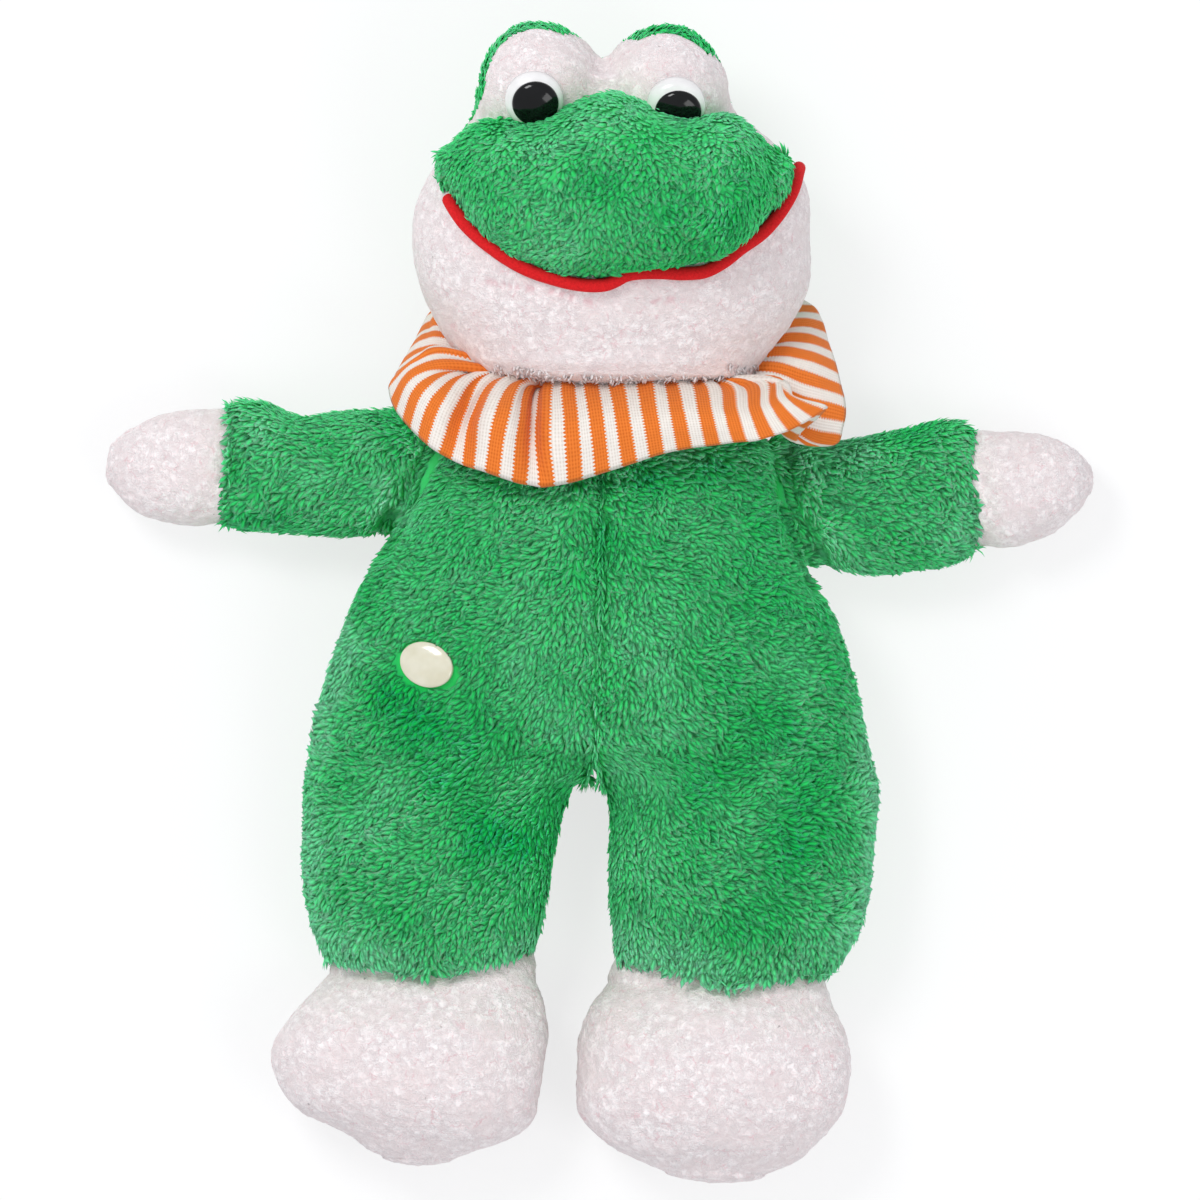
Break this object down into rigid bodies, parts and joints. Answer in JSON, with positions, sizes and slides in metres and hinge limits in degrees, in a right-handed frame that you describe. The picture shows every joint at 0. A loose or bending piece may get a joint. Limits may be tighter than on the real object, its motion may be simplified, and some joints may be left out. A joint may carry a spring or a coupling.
{
  "type": "plush frog",
  "caption": "Soft stuffed frog with a bulging snout, safety eyes, green pile romper, pale hands and feet, gathered striped neck ruff and an oval badge.",
  "frame": {"origin": "middle of the floor under the frog, which lies on its back", "axes": "+Z out of its front, +Y towards the top of its head, +X towards the right of the picture"},
  "size_m": [0.3426, 0.403, 0.119],
  "materials": {
    "green_pile": "matte",
    "pale_pink_fleece": "matte",
    "red_fleece": "matte",
    "striped_jersey": "matte",
    "polyester_fill": "matte",
    "eye_white_plastic": "gloss",
    "eye_black_plastic": "gloss",
    "cream_plastic": "gloss",
    "washer_plastic": "matte"
  },
  "bodies": {
    "torso": {"torso_cover_left": "green_pile", "torso_cover_right": "green_pile", "torso_stuffing": "polyester_fill", "badge": "cream_plastic", "badge_washer": "washer_plastic", "ruff": "striped_jersey"},
    "neck": {"neck_stuffing": "polyester_fill"},
    "head": {"head_hood": "green_pile", "head_jaw": "pale_pink_fleece", "head_eye_panel": "pale_pink_fleece", "head_snout": "green_pile", "head_stuffing": "polyester_fill", "mouth_piping": "red_fleece", "eye_white_left": "eye_white_plastic", "eye_pupil_left": "eye_black_plastic", "eye_washer_left": "washer_plastic", "eye_white_right": "eye_white_plastic", "eye_pupil_right": "eye_black_plastic", "eye_washer_right": "washer_plastic"},
    "arm_left": {"sleeve_left": "green_pile", "sleeve_stuffing_left": "polyester_fill"},
    "hand_left": {"hand_left": "pale_pink_fleece", "hand_stuffing_left": "polyester_fill"},
    "leg_left": {"leg_left": "green_pile", "leg_stuffing_left": "polyester_fill"},
    "foot_left": {"foot_left": "pale_pink_fleece", "foot_stuffing_left": "polyester_fill"},
    "arm_right": {"sleeve_right": "green_pile", "sleeve_stuffing_right": "polyester_fill"},
    "hand_right": {"hand_right": "pale_pink_fleece", "hand_stuffing_right": "polyester_fill"},
    "leg_right": {"leg_right": "green_pile", "leg_stuffing_right": "polyester_fill"},
    "foot_right": {"foot_right": "pale_pink_fleece", "foot_stuffing_right": "polyester_fill"}
  },
  "joints": [
    {"name": "neck_turn", "type": "hinge", "parent": "torso", "child": "neck", "pos_m": [0.00224, 0.07383, 0.034], "axis": [0, 1, 0], "range_deg": [-40, 40], "deforming": ["ruff"]},
    {"name": "neck_nod", "type": "hinge", "parent": "neck", "child": "head", "pos_m": [0.00224, 0.07383, 0.034], "axis": [1, 0, 0], "range_deg": [-12, 12]},
    {"name": "shoulder_left", "type": "hinge", "parent": "torso", "child": "arm_left", "pos_m": [-0.06469, 0.04381, 0.0264], "axis": [0.4061, 0.9138, 0], "range_deg": [-25, 60]},
    {"name": "wrist_left", "type": "hinge", "parent": "arm_left", "child": "hand_left", "pos_m": [-0.12696, 0.04709, 0.01775], "axis": [0.0087, 1, 0], "range_deg": [-25, 25]},
    {"name": "hip_left", "type": "hinge", "parent": "torso", "child": "leg_left", "pos_m": [-0.05365, -0.05796, 0.02875], "axis": [-1, 0, 0], "range_deg": [-20, 60]},
    {"name": "ankle_left", "type": "hinge", "parent": "leg_left", "child": "foot_left", "pos_m": [-0.05848, -0.13386, 0.0216], "axis": [-1, 0, 0], "range_deg": [-25, 28]},
    {"name": "shoulder_right", "type": "hinge", "parent": "torso", "child": "arm_right", "pos_m": [0.06831, 0.0345, 0.0264], "axis": [0.3015, -0.9535, 0], "range_deg": [-25, 60]},
    {"name": "wrist_right", "type": "hinge", "parent": "arm_right", "child": "hand_right", "pos_m": [0.1292, 0.03881, 0.01775], "axis": [0.0682, -0.9977, 0], "range_deg": [-25, 25]},
    {"name": "hip_right", "type": "hinge", "parent": "torso", "child": "leg_right", "pos_m": [0.04675, -0.05796, 0.02875], "axis": [-1, 0, 0], "range_deg": [-20, 60]},
    {"name": "ankle_right", "type": "hinge", "parent": "leg_right", "child": "foot_right", "pos_m": [0.03933, -0.138, 0.0216], "axis": [-0.9998, 0.0176, 0], "range_deg": [-25, 28]}
  ]
}
